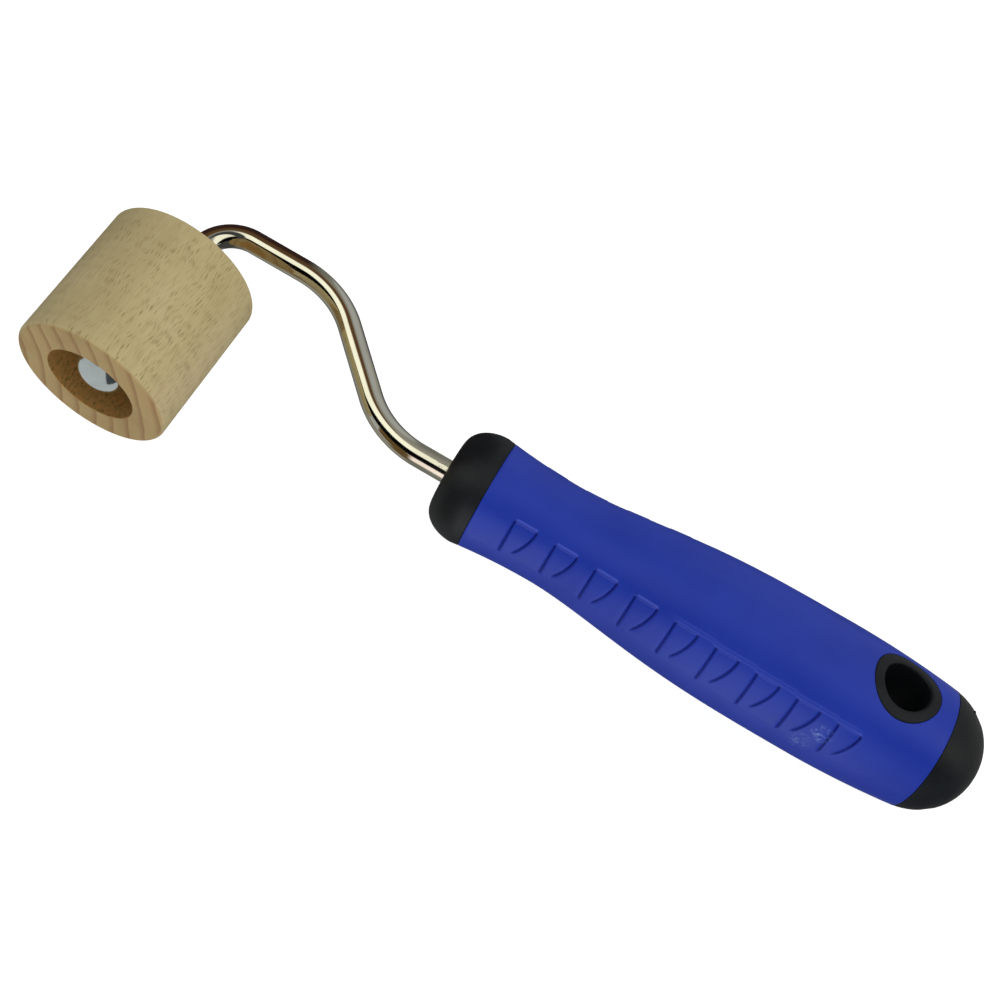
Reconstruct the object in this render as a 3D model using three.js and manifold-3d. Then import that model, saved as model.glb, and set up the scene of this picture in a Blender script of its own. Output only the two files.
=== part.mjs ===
// Seam roller: a beech roller that spins on a cranked steel rod, with a handle moulded in two shots.
//
// Units are millimetres. The model is laid out from the middle of the roller: +X runs along the handle
// towards its tail, +Y runs along the axle towards the crank, and +Z is up. The finished group is then
// moved so that the tool lies on z = 0 with the origin under the middle of its box.

import * as THREE from 'three';
import { mergeVertices } from 'three/addons/utils/BufferGeometryUtils.js';
import Module from 'manifold-3d';

// Roller
const ROLLER_DIAMETER = 40;
const ROLLER_WIDTH = 40;
const ROLLER_EDGE = 1.3;
const RECESS_DIAMETER = 23;
const RECESS_DEPTH = 9;

// Rod: one bent wire from the end of the axle to the end of its tang in the handle
const ROD_DIAMETER = 6;
const CRANK_CLEARANCE = 16.5;   // roller's back face to the centreline of the crank's outer leg
const AXLE_BEND_RADIUS = 10;
const CRANK_BEND_RADIUS = 25;
const CRANK_REACH = 34.5;       // axle to the corner where the crank turns back in
const HANDLE_OFFSET = 7.5;      // roller's middle to the handle's centreline, along the axle
const SHANK_LENGTH = 18.5;      // crank's second corner to the front of the handle
const TANG_LENGTH = 52;
const AXLE_TIP = 3.2;           // axle standing out past the washer, inside the cap

// Ears pinched out of the rod: one pair stops the roller, one pair keys the tang in the handle
const EAR_REACH = 2;            // out past the rod on each side
const EAR_THICKNESS = 2.4;
const STOP_EAR_LENGTH = 3;
const TANG_EAR_LENGTH = 12;
const TANG_EAR_FROM_END = 8;

// Bushes, washers, push nut and cap on the axle
const BUSH_WALL = 1.9;
const BUSH_BODY_LENGTH = 9;
const FLANGE_LIP = 1;           // flange past the bush's body
const FLANGE_THICKNESS = 1;
const WASHER_RIM = 2.9;         // washer's hole to its edge
const WASHER_THICKNESS = 1;
const NUT_THICKNESS = 0.6;
const NUT_TEETH = 6;
const NUT_SLOT_DEPTH = 1.4;
const NUT_TOOTH_SHARE = 0.75;   // of each tooth and slot together, the part that is tooth
const CAP_OVERHANG = 1;         // cap past the washer's edge
const CAP_HEIGHT = 6;
const CAP_SKIRT = 0.8;
const CAP_WALL = 0.5;

// Handle outline, measured along the handle from its front face
const HANDLE_LENGTH = 143.6;
const FACE_DIAMETER = 16.5;
const COLLAR_DIAMETER = 28.5;
const COLLAR_AT = 8.6;
const WAIST_DIAMETER = 25.7;
const WAIST_AT = 29.5;
const PALM_DIAMETER = 34.8;
const PALM_FROM_END = 42;
const TAIL_DIAMETER = 27.5;     // what the taper behind the palm would reach at the very end
const DOME_LENGTH = 14.3;
const SWELL_EARLY = 1.68;       // over 1 brings the swell from waist to palm nearer to the waist
const DOME_SQUARENESS = 2.3;    // 2 is an ellipse, more is squarer

// Handle mouldings
const FERRULE_LENGTH = 10.8;
const BUTT_LENGTH = 13.2;
const SLEEVE_WALL = 2.5;
const EYELET_DIAMETER = 17.5;
const HANG_HOLE_DIAMETER = 12;
const HANG_HOLE_FROM_END = 26.6;
const HANDLE_ROLL = 12;         // degrees that the hanging hole leans from +Z towards +Y

// Clearances
const RUNNING = 0.1;            // rod in its bushes
const SEAT = 0.1;               // parts that sit in or on each other
const END_FLOAT = 0.3;          // roller's free play along the axle, at each end
const MOULDED = 0.3;            // between the mouldings, and round the tang

// Facets
const ROLLER_SIDES = 64;
const HANDLE_SIDES = 40;
const FINE_SIDES = 48;
const ROD_SIDES = 16;
const ROD_STEPS = 72;
const CAP_SIDES = 32;
const CORNER_STEPS = 4;
const GRIP_STEPS = 14;
const DOME_STEPS = 6;

// Sizes that follow from the ones above
const ROD_RADIUS = ROD_DIAMETER / 2;
const EAR_SPAN = ROD_DIAMETER + 2 * EAR_REACH;
const BUSH_RADIUS = ROD_RADIUS + RUNNING + BUSH_WALL;
const FLANGE_RADIUS = BUSH_RADIUS + FLANGE_LIP;
const WASHER_RADIUS = ROD_RADIUS + SEAT + WASHER_RIM;
const CAP_RADIUS = WASHER_RADIUS + CAP_OVERHANG;
const BACK_FACE = ROLLER_WIDTH / 2;
const FREE_FACE = -ROLLER_WIDTH / 2;
const RECESS_FLOOR = FREE_FACE + RECESS_DEPTH;
const FLANGE_POCKET = FLANGE_THICKNESS + SEAT;
const THRUST_WASHER_BACK = RECESS_FLOOR - FLANGE_THICKNESS - SEAT - END_FLOAT;
const THRUST_WASHER_FRONT = THRUST_WASHER_BACK - WASHER_THICKNESS;
const CAP_RIM = THRUST_WASHER_FRONT - SEAT;
const AXLE_END = THRUST_WASHER_FRONT - AXLE_TIP;
const STOP_WASHER_FRONT = BACK_FACE + END_FLOAT;
const STOP_EARS_FRONT = STOP_WASHER_FRONT + WASHER_THICKNESS + SEAT;
const CRANK_Y = BACK_FACE + CRANK_CLEARANCE;
const CRANK_TURN = CRANK_Y - HANDLE_OFFSET;      // the crank runs back in at 45 degrees
const HANDLE_FRONT = CRANK_REACH + CRANK_TURN + SHANK_LENGTH;
const ROLL_ANGLE = THREE.MathUtils.degToRad(HANDLE_ROLL);
const PALM_AT = HANDLE_LENGTH - PALM_FROM_END;
const DOME_AT = HANDLE_LENGTH - DOME_LENGTH;
const BUTT_AT = HANDLE_LENGTH - BUTT_LENGTH;
const HANG_HOLE_AT = HANDLE_LENGTH - HANG_HOLE_FROM_END;

const MATERIALS = {
  beech: { color: 0xb9a882, roughness: 0.62, metalness: 0 },
  nylon: { color: 0xe6e2d6, roughness: 0.45, metalness: 0 },
  zinc: { color: 0xb4b8b6, roughness: 0.3, metalness: 1 },
  nickel: { color: 0xc2bfae, roughness: 0.16, metalness: 1 },
  core: { color: 0x24292d, roughness: 0.5, metalness: 0 },
  sleeve: { color: 0x2e3e94, roughness: 0.42, metalness: 0 },
};

const wasm = await Module();
wasm.setup();

function toSolid(geometry) {
  const bare = geometry.clone();
  bare.deleteAttribute('normal');
  bare.deleteAttribute('uv');
  const merged = mergeVertices(bare);
  const vertProperties = merged.attributes.position.array;
  const triVerts = new Uint32Array(merged.index.array);
  return new wasm.Manifold(new wasm.Mesh({ numProp: 3, vertProperties, triVerts }));
}

function toGeometry(solid) {
  const mesh = solid.getMesh();
  const geometry = new THREE.BufferGeometry();
  geometry.setAttribute('position', new THREE.BufferAttribute(mesh.vertProperties, 3));
  geometry.setIndex(new THREE.BufferAttribute(mesh.triVerts, 1));
  geometry.computeVertexNormals();
  return geometry;
}

function named(name, geometry, finish) {
  const mesh = new THREE.Mesh(geometry, new THREE.MeshStandardMaterial(MATERIALS[finish]));
  mesh.name = name;
  return mesh;
}

// Values from one number to another, evenly spaced.
function evenly(from, to, steps) {
  return Array.from({ length: steps + 1 }, (_, i) => from + (to - from) * i / steps);
}

// A body turned about the Y axis from [radius, y] corners.
function turned(corners, sides) {
  const profile = corners.map(([radius, y]) => new THREE.Vector2(radius, y));
  return new THREE.LatheGeometry(profile, sides);
}

function ring(inner, outer, low, high, sides) {
  return turned([[inner, low], [outer, low], [outer, high], [inner, high], [inner, low]], sides);
}

// Corners along a quarter round in the [radius, y] plane, from one angle to another in degrees.
function quarter(centreRadius, centreY, reach, rise, from, to, steps) {
  return evenly(from, to, steps).map((degrees) => {
    const angle = THREE.MathUtils.degToRad(degrees);
    return [centreRadius + reach * Math.cos(angle), centreY + rise * Math.sin(angle)];
  });
}

function roller() {
  const outer = ROLLER_DIAMETER / 2;
  const edge = ROLLER_EDGE;
  const bore = BUSH_RADIUS + SEAT;
  const pocket = FLANGE_RADIUS + SEAT;
  const recess = RECESS_DIAMETER / 2;
  const corners = [
    [bore, RECESS_FLOOR],
    [recess, RECESS_FLOOR],
    [recess, FREE_FACE],
    ...quarter(outer - edge, FREE_FACE + edge, edge, edge, -90, 0, CORNER_STEPS),
    ...quarter(outer - edge, BACK_FACE - edge, edge, edge, 0, 90, CORNER_STEPS),
    [pocket, BACK_FACE],
    [pocket, BACK_FACE - FLANGE_POCKET],
    [bore, BACK_FACE - FLANGE_POCKET],
    [bore, RECESS_FLOOR],
  ];
  return named('roller', turned(corners, ROLLER_SIDES), 'beech');
}

// A flanged bush: the flange starts at flangeY and the body runs on from it in the given direction.
function bush(name, flangeY, direction) {
  const inner = ROD_RADIUS + RUNNING;
  const shoulder = flangeY + direction * FLANGE_THICKNESS;
  const end = shoulder + direction * BUSH_BODY_LENGTH;
  const corners = [
    [inner, flangeY],
    [FLANGE_RADIUS, flangeY],
    [FLANGE_RADIUS, shoulder],
    [BUSH_RADIUS, shoulder],
    [BUSH_RADIUS, end],
    [inner, end],
    [inner, flangeY],
  ];
  if (direction < 0) corners.reverse();
  return named(name, turned(corners, FINE_SIDES), 'nylon');
}

function washer(name, low) {
  const geometry = ring(ROD_RADIUS + SEAT, WASHER_RADIUS, low, low + WASHER_THICKNESS, FINE_SIDES);
  return named(name, geometry, 'zinc');
}

// A toothed ring that bites on the axle; the slots between its teeth let them bend.
function pushNut() {
  const bite = ROD_RADIUS + SEAT;
  const low = CAP_RIM - NUT_THICKNESS;
  let nut = toSolid(ring(bite, CAP_RADIUS - CAP_WALL - SEAT, low, CAP_RIM, CAP_SIDES));
  for (let i = 0; i < NUT_TEETH; i += 1) {
    const from = 2 * Math.PI * (i + NUT_TOOTH_SHARE) / NUT_TEETH;
    const to = 2 * Math.PI * (i + 1) / NUT_TEETH;
    nut = nut.subtract(slot(bite / 2, bite + NUT_SLOT_DEPTH, from, to, CAP_RIM));
  }
  return named('push_nut', toGeometry(nut), 'zinc');
}

// A wedge-shaped cutter between two radii and two angles, reaching past both faces of the nut.
function slot(near, far, from, to, high) {
  const corner = (radius, angle) => new THREE.Vector2(radius * Math.cos(angle), radius * Math.sin(angle));
  const wedge = new THREE.Shape([corner(near, from), corner(far, from), corner(far, to), corner(near, to)]);
  const geometry = new THREE.ExtrudeGeometry(wedge, { depth: 3 * NUT_THICKNESS, bevelEnabled: false });
  geometry.rotateX(Math.PI / 2);
  geometry.translate(0, high + NUT_THICKNESS, 0);
  return toSolid(geometry);
}

// A pressed dome with a short straight skirt that closes over the push nut.
function domeCap() {
  const outer = CAP_RADIUS;
  const inner = outer - CAP_WALL;
  const shoulder = CAP_RIM - CAP_SKIRT;
  const rise = CAP_HEIGHT - CAP_SKIRT;
  const corners = [
    ...quarter(0, shoulder, outer, rise, -90, 0, DOME_STEPS),
    [outer, CAP_RIM],
    [inner, CAP_RIM],
    ...quarter(0, shoulder, inner, rise - CAP_WALL, 0, -90, DOME_STEPS),
  ];
  corners[0][0] = 0;
  corners[corners.length - 1][0] = 0;
  return named('dome_cap', turned(corners, CAP_SIDES), 'zinc');
}

// A flat route through corners, each rounded to its own radius.
function roundedRoute(corners, radii) {
  const route = new THREE.Path();
  route.moveTo(corners[0].x, corners[0].y);
  for (let i = 1; i < corners.length - 1; i += 1) {
    const arriving = corners[i].clone().sub(corners[i - 1]).normalize();
    const leaving = corners[i + 1].clone().sub(corners[i]).normalize();
    const turn = Math.atan2(arriving.cross(leaving), arriving.dot(leaving));
    const radius = radii[i - 1];
    const start = corners[i].clone().addScaledVector(arriving, -radius * Math.tan(Math.abs(turn) / 2));
    const side = Math.sign(turn);
    const inward = new THREE.Vector2(-arriving.y, arriving.x);
    const centre = start.clone().addScaledVector(inward, radius * side);
    const angle = Math.atan2(start.y - centre.y, start.x - centre.x);
    route.lineTo(start.x, start.y);
    route.absarc(centre.x, centre.y, radius, angle, angle + turn, turn < 0);
  }
  const last = corners[corners.length - 1];
  route.lineTo(last.x, last.y);
  return route;
}

// Lifts a flat route into space, at z = 0.
class FlatCurve extends THREE.Curve {
  constructor(route) {
    super();
    this.route = route;
  }

  getPoint(t, target = new THREE.Vector3()) {
    const point = this.route.getPoint(t);
    return target.set(point.x, point.y, 0);
  }
}

function block(length, width, height, x, y) {
  const geometry = new THREE.BoxGeometry(length, width, height);
  geometry.translate(x, y, 0);
  return toSolid(geometry);
}

// The tang's ears, grown all round by a clearance when they cut their own room in the handle.
function tangEars(grown) {
  const middle = HANDLE_FRONT + TANG_LENGTH - TANG_EAR_FROM_END - TANG_EAR_LENGTH / 2;
  const [length, width, height] = [TANG_EAR_LENGTH, EAR_THICKNESS, EAR_SPAN].map((size) => size + 2 * grown);
  return block(length, width, height, middle, HANDLE_OFFSET);
}

function frameRod() {
  const corners = [
    new THREE.Vector2(0, AXLE_END),
    new THREE.Vector2(0, CRANK_Y),
    new THREE.Vector2(CRANK_REACH, CRANK_Y),
    new THREE.Vector2(CRANK_REACH + CRANK_TURN, HANDLE_OFFSET),
    new THREE.Vector2(HANDLE_FRONT + TANG_LENGTH, HANDLE_OFFSET),
  ];
  const route = roundedRoute(corners, [AXLE_BEND_RADIUS, CRANK_BEND_RADIUS, CRANK_BEND_RADIUS]);
  const section = new THREE.Shape();
  section.absarc(0, 0, ROD_RADIUS, 0, 2 * Math.PI, false);
  const sweep = { steps: ROD_STEPS, extrudePath: new FlatCurve(route), curveSegments: ROD_SIDES / 2 };
  const wire = toSolid(new THREE.ExtrudeGeometry(section, sweep));
  const stopEars = block(EAR_THICKNESS, STOP_EAR_LENGTH, EAR_SPAN, 0, STOP_EARS_FRONT + STOP_EAR_LENGTH / 2);
  return named('frame_rod', toGeometry(wire.add(stopEars).add(tangEars(0))), 'nickel');
}

// Radius of the handle at a distance from its front face: a rounded corner up to the collar, a hollow
// down to the waist, a swell up to the palm, and a taper that a squared dome closes off.
function handleRadius(at) {
  const face = FACE_DIAMETER / 2;
  const collar = COLLAR_DIAMETER / 2;
  const waist = WAIST_DIAMETER / 2;
  const palm = PALM_DIAMETER / 2;
  const tail = TAIL_DIAMETER / 2;
  if (at < COLLAR_AT) {
    const back = (COLLAR_AT - at) / COLLAR_AT;
    return face + (collar - face) * Math.sqrt(1 - back * back);
  }
  if (at < WAIST_AT) {
    const left = (WAIST_AT - at) / (WAIST_AT - COLLAR_AT);
    return waist + (collar - waist) * left * left;
  }
  if (at < PALM_AT) {
    const along = (at - WAIST_AT) / (PALM_AT - WAIST_AT);
    const eased = 1 - (1 - along) ** SWELL_EARLY;
    return waist + (palm - waist) * eased * eased * (3 - 2 * eased);
  }
  const past = (at - PALM_AT) / (HANDLE_LENGTH - PALM_AT);
  const taper = palm - (palm - tail) * past * past;
  const dome = Math.min(Math.max((at - DOME_AT) / DOME_LENGTH, 0), 1);
  return taper * (1 - dome ** DOME_SQUARENESS) ** (1 / DOME_SQUARENESS);
}

// Stations along the handle that crowd towards a rounded end.
function crowding(from, to, steps) {
  return evenly(0, Math.PI / 2, steps).map((angle) => from + (to - from) * Math.sin(angle));
}

function outline(stations, inset) {
  return stations.map((at) => [handleRadius(at) - inset, at]);
}

// Turns a lathe body from the Y axis onto the handle's own line.
function alongHandle(geometry) {
  geometry.rotateZ(-Math.PI / 2);
  geometry.translate(HANDLE_FRONT, HANDLE_OFFSET, 0);
  return toSolid(geometry);
}

// A bar through the handle at the hanging hole, leaning with the handle's roll.
function acrossHandle(diameter) {
  const geometry = new THREE.CylinderGeometry(diameter / 2, diameter / 2, 2 * PALM_DIAMETER, HANDLE_SIDES);
  geometry.rotateX(Math.PI / 2 - ROLL_ANGLE);
  geometry.translate(HANDLE_FRONT + HANG_HOLE_AT, HANDLE_OFFSET, 0);
  return toSolid(geometry);
}

function frontStations() {
  return crowding(COLLAR_AT, 0, CORNER_STEPS).reverse();
}

function backStations(from) {
  return crowding(DOME_AT, HANDLE_LENGTH, DOME_STEPS).filter((at) => at > from);
}

// Stations between two places, leaving out those too near to either.
function gripStations(from, to) {
  const margin = (DOME_AT - COLLAR_AT) / GRIP_STEPS / 4;
  const between = evenly(COLLAR_AT, DOME_AT, GRIP_STEPS);
  return [from, ...between.filter((at) => at > from + margin && at < to - margin), to];
}

function wholeHandle() {
  const middle = gripStations(COLLAR_AT, DOME_AT).slice(1);
  const stations = [...frontStations(), ...middle, ...backStations(DOME_AT)];
  const corners = [[0, 0], ...outline(stations, 0)];
  corners[corners.length - 1][0] = 0;
  return alongHandle(turned(corners, HANDLE_SIDES));
}

// First shot: ferrule, core, hanging eyelet and butt in one piece, moulded round the rod's tang.
function handleCore() {
  const front = [...frontStations(), FERRULE_LENGTH];
  const middle = gripStations(FERRULE_LENGTH, BUTT_AT);
  const corners = [
    [0, 0],
    ...outline(front, 0),
    ...outline(middle, SLEEVE_WALL + MOULDED),
    ...outline([BUTT_AT, ...backStations(BUTT_AT)], 0),
  ];
  corners[corners.length - 1][0] = 0;
  const tang = new THREE.CylinderGeometry(
    ROD_RADIUS + MOULDED, ROD_RADIUS + MOULDED, TANG_LENGTH + 2 * MOULDED, HANDLE_SIDES);
  tang.rotateZ(Math.PI / 2);
  tang.translate(HANDLE_FRONT + TANG_LENGTH / 2, HANDLE_OFFSET, 0);
  const eyelet = acrossHandle(EYELET_DIAMETER).intersect(wholeHandle());
  const core = alongHandle(turned(corners, HANDLE_SIDES))
    .add(eyelet)
    .subtract(acrossHandle(HANG_HOLE_DIAMETER))
    .subtract(toSolid(tang))
    .subtract(tangEars(MOULDED));
  return named('handle_core', toGeometry(core), 'core');
}

// Second shot: the soft sleeve between ferrule and butt, open round the eyelet.
function gripSleeve() {
  const stations = gripStations(FERRULE_LENGTH + MOULDED, BUTT_AT - MOULDED);
  const inside = outline(stations, SLEEVE_WALL).reverse();
  const outside = outline(stations, 0);
  const tube = alongHandle(turned([...outside, ...inside, outside[0]], HANDLE_SIDES));
  const sleeve = tube.subtract(acrossHandle(EYELET_DIAMETER + 2 * MOULDED));
  return named('grip_sleeve', toGeometry(sleeve), 'sleeve');
}

const tool = new THREE.Group();
tool.add(
  roller(),
  bush('front_bush', RECESS_FLOOR - SEAT - FLANGE_THICKNESS, 1),
  bush('rear_bush', BACK_FACE, -1),
  washer('thrust_washer', THRUST_WASHER_FRONT),
  washer('stop_washer', STOP_WASHER_FRONT),
  pushNut(),
  domeCap(),
  frameRod(),
  handleCore(),
  gripSleeve(),
);

const lowX = -ROLLER_DIAMETER / 2;
const highX = HANDLE_FRONT + HANDLE_LENGTH;
const lowY = Math.min(FREE_FACE, HANDLE_OFFSET - PALM_DIAMETER / 2);
const highY = CRANK_Y + ROD_RADIUS;
const lowZ = -Math.max(ROLLER_DIAMETER, PALM_DIAMETER) / 2;
tool.position.set(-(lowX + highX) / 2, -(lowY + highY) / 2, -lowZ);

export default tool;
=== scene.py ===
import bmesh
import bpy
import numpy as np
from mathutils import Matrix, Vector


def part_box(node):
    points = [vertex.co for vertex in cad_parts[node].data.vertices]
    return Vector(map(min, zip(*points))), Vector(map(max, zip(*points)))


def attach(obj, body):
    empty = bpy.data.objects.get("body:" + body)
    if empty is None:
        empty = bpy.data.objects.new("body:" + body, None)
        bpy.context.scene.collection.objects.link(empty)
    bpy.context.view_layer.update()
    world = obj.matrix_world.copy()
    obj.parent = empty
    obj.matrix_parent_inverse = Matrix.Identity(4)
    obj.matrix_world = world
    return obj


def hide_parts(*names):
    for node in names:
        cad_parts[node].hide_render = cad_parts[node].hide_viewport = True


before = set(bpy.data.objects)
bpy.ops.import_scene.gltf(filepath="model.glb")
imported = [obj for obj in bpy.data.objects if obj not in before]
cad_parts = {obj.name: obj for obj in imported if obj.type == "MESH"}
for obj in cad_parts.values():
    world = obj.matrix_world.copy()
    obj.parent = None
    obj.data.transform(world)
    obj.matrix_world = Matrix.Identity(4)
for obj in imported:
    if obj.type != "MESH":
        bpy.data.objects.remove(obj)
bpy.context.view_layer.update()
MM = 0.001


# ---------------------------------------------------------------------------------------------------
# Frame rod: one length of 6 mm steel wire, bent cold in four places and nickel plated bright. One pair
# of ears pinched out of it stops the roller, a second pair near its far end keys it in the handle.

ROD_RADIUS = 3 * MM
AXLE_BEND = 10 * MM
CRANK_BEND = 25 * MM
CRANK_REACH = 34.5 * MM
END_CHAMFER = 0.5 * MM
EAR_REACH = 5 * MM
EAR_HALF_THICKNESS = 1.2 * MM
EAR_RAMP = 0.7 * MM
STOP_EAR_LENGTH = 3 * MM
TANG_EAR_LENGTH = 12 * MM
TANG_EAR_FROM_END = 8 * MM
PLATE_GAP = 0.1 * MM

roller_low, roller_high = (np.array(corner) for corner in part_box("roller"))
rod_low, rod_high = (np.array(corner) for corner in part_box("frame_rod"))
core_low, core_high = (np.array(corner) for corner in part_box("handle_core"))
stop_high = np.array(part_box("stop_washer")[1])
roller_middle = (roller_low + roller_high) / 2
handle_middle = (core_low + core_high) / 2
axle_x, axle_z = roller_middle[0], roller_middle[2]
handle_front, handle_y = core_low[0], handle_middle[1]
crank_y = rod_high[1] - ROD_RADIUS


def rounded(corners, steps=8):
    """Points (as complex numbers) of an outline whose corners are given with a radius each: every corner
    becomes an arc that starts and ends where it touches the two straight sides."""
    spots = np.array([complex(x, y) for x, y, _ in corners])
    pieces = [spots[:1]]
    for before, spot, after, (_, _, radius) in zip(spots, spots[1:], spots[2:], corners[1:]):
        arriving = (spot - before) / abs(spot - before)
        leaving = (after - spot) / abs(after - spot)
        turn = np.angle(leaving / arriving)
        if radius == 0 or abs(turn) < 1e-6:
            pieces.append(np.array([spot]))
            continue
        start = spot - arriving * radius * np.tan(abs(turn) / 2)
        centre = start + 1j * np.sign(turn) * radius * arriving
        pieces.append(centre + (start - centre) * np.exp(1j * turn * np.linspace(0, 1, steps + 1)))
    pieces.append(spots[-1:])
    return np.concatenate(pieces)


def shell(name, *patches, crease=32):
    """A closed mesh from patches of points, each an array of rows by columns by three. Neighbouring rows
    and columns are joined by quads, a face with a missing (NaN) corner is left out, points that patches
    share are merged, and the faces are then turned outwards. A patch may carry a pair of numbers for each
    point, such as its place on the unrolled surface, which becomes its UV."""
    points, quads, flats, first = [], [], [], 0
    for patch in patches:
        grid, flat = patch if isinstance(patch, tuple) else (patch, np.zeros(patch.shape[:2] + (2,)))
        rows, columns = grid.shape[:2]
        index = first + np.arange(rows * columns).reshape(rows, columns)
        corners = np.stack([index[:-1, :-1], index[:-1, 1:], index[1:, 1:], index[1:, :-1]], axis=-1)
        points.append(grid.reshape(-1, 3))
        flats.append(flat.reshape(-1, 2))
        quads.append(corners.reshape(-1, 4))
        first += rows * columns
    points, quads, flats = np.concatenate(points), np.concatenate(quads), np.concatenate(flats)
    quads = quads[~np.isnan(points[quads]).any(axis=(1, 2))]
    used, numbers = np.unique(quads, return_inverse=True)
    numbers = numbers.reshape(quads.shape)
    mesh = bpy.data.meshes.new(name)
    mesh.from_pydata(points[used].tolist(), [], numbers.tolist())
    layer = mesh.uv_layers.new(name="flat")
    layer.data.foreach_set("uv", flats[used][numbers.ravel()].ravel())
    built = bmesh.new()
    built.from_mesh(mesh)
    bmesh.ops.remove_doubles(built, verts=built.verts, dist=0.001 * MM)
    bmesh.ops.recalc_face_normals(built, faces=built.faces)
    built.to_mesh(mesh)
    built.free()
    mesh.shade_smooth()
    mesh.set_sharp_from_angle(angle=np.radians(crease))
    piece = bpy.data.objects.new(name, mesh)
    bpy.context.scene.collection.objects.link(piece)
    return piece


def swept_rod(spacing=0.45 * MM, columns=96):
    """The wire: a ring of points is carried along the bent route, square to it, and the ring's radius
    swells to a flat ear shape where the ears are pinched, by a smooth maximum of circle and ear."""
    end_x = rod_high[0]
    turn_x = axle_x + CRANK_REACH + (crank_y - handle_y)
    route = rounded([
        (axle_x, rod_low[1], 0),
        (axle_x, crank_y, AXLE_BEND),
        (axle_x + CRANK_REACH, crank_y, CRANK_BEND),
        (turn_x, handle_y, CRANK_BEND),
        (end_x, handle_y, 0),
    ], steps=60)
    length = np.concatenate([[0], np.cumsum(abs(np.diff(route)))])
    total = length[-1]
    along = np.linspace(0, total, int(total / spacing))
    along = np.concatenate([[0, 0, END_CHAMFER], along[2:-2], [total - END_CHAMFER, total, total]])
    middle = np.interp(along, length, route.real) + 1j * np.interp(along, length, route.imag)
    heading = np.interp(along, (length[1:] + length[:-1]) / 2, np.unwrap(np.angle(np.diff(route))))
    around = np.linspace(0, 2 * np.pi, columns + 1)

    stop_start = stop_high[1] + PLATE_GAP - rod_low[1]
    tang_end = total - TANG_EAR_FROM_END
    pinched = np.zeros_like(along)
    for start, end in ((stop_start, stop_start + STOP_EAR_LENGTH), (tang_end - TANG_EAR_LENGTH, tang_end)):
        rise = np.clip((along - start) / EAR_RAMP, 0, 1) * np.clip((end - along) / EAR_RAMP, 0, 1)
        pinched += rise * rise * (3 - 2 * rise)
    ear = (abs(np.cos(around) / EAR_HALF_THICKNESS) ** 4 + abs(np.sin(around) / EAR_REACH) ** 4) ** -0.25
    joined = (ROD_RADIUS ** 16 + ear ** 16) ** (1 / 16)
    radius = ROD_RADIUS + pinched[:, None] * (joined - ROD_RADIUS)
    radius[[0, -1]] = 0
    radius[[1, -2]] -= END_CHAMFER

    across = radius * np.cos(around)
    grid = np.stack([
        middle.real[:, None] - np.sin(heading)[:, None] * across,
        middle.imag[:, None] + np.cos(heading)[:, None] * across,
        axle_z + radius * np.sin(around),
    ], axis=-1)
    flat = np.stack(np.broadcast_arrays(along[:, None], ROD_RADIUS * around), axis=-1)
    return shell("bent_rod", (grid, flat), crease=40)


def colour(red, green, blue):
    """A screen colour, 0 to 255, as the linear colour that shaders use."""
    share = np.array([red, green, blue]) / 255
    linear = np.where(share <= 0.04045, share / 12.92, ((share + 0.055) / 1.055) ** 2.4)
    return (*linear.tolist(), 1.0)


def finish(name, **plain):
    """A new material whose one shader has these plain socket values; an underscore stands for a space."""
    material = bpy.data.materials.new(name)
    material.use_nodes = True
    shader = material.node_tree.nodes["Principled BSDF"]
    for socket, value in plain.items():
        shader.inputs[socket.replace("_", " ")].default_value = value
    return material


def add(tree, kind, inputs=(), **settings):
    """Adds a node. Each input is named or numbered, and is given a value or another node's output."""
    node = tree.nodes.new("ShaderNode" + kind)
    for key, value in settings.items():
        setattr(node, key, value)
    for socket, value in dict(inputs).items():
        if isinstance(value, bpy.types.NodeSocket):
            tree.links.new(value, node.inputs[socket])
        else:
            node.inputs[socket].default_value = value
    return node


def ramp(tree, factor, *stops):
    """A colour ramp's output: each stop is a place from 0 to 1 and a colour, or a grey level."""
    node = add(tree, "ValToRGB", {"Fac": factor})
    elements = node.color_ramp.elements
    while len(elements) < len(stops):
        elements.new(1)
    for element, (place, shade) in zip(elements, stops):
        element.position = place
        element.color = shade if isinstance(shade, tuple) else (shade, shade, shade, 1)
    return node.outputs["Color"]


def mixed(tree, factor, first, second, blend="MIX"):
    node = add(tree, "Mix", data_type="RGBA", blend_type=blend)
    for number, value in ((0, factor), (6, first), (7, second)):
        if isinstance(value, bpy.types.NodeSocket):
            tree.links.new(value, node.inputs[number])
        else:
            node.inputs[number].default_value = value
    return node.outputs[2]


def sums(tree, operation, *values):
    """One arithmetic step on numbers or outputs."""
    return add(tree, "Math", dict(enumerate(values)), operation=operation).outputs[0]


def noise(tree, place, scale, detail=3.0, roughness=0.5):
    inputs = {"Vector": place, "Scale": scale, "Detail": detail, "Roughness": roughness}
    return add(tree, "TexNoise", inputs).outputs["Fac"]


def placed(tree, source, scale=(1, 1, 1), location=(0, 0, 0), turn=(0, 0, 0)):
    """A coordinate moved, turned and then scaled."""
    moved = add(tree, "Mapping", {"Vector": source, "Location": location, "Rotation": turn})
    return add(tree, "Mapping", {"Vector": moved.outputs[0], "Scale": scale}).outputs[0]


def wire(material, socket, output):
    tree = material.node_tree
    tree.links.new(output, tree.nodes["Principled BSDF"].inputs[socket])


def bumped(material, height, distance, strength=1.0):
    tree = material.node_tree
    bump = add(tree, "Bump", {"Height": height, "Distance": distance, "Strength": strength})
    wire(material, "Normal", bump.outputs[0])


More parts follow.
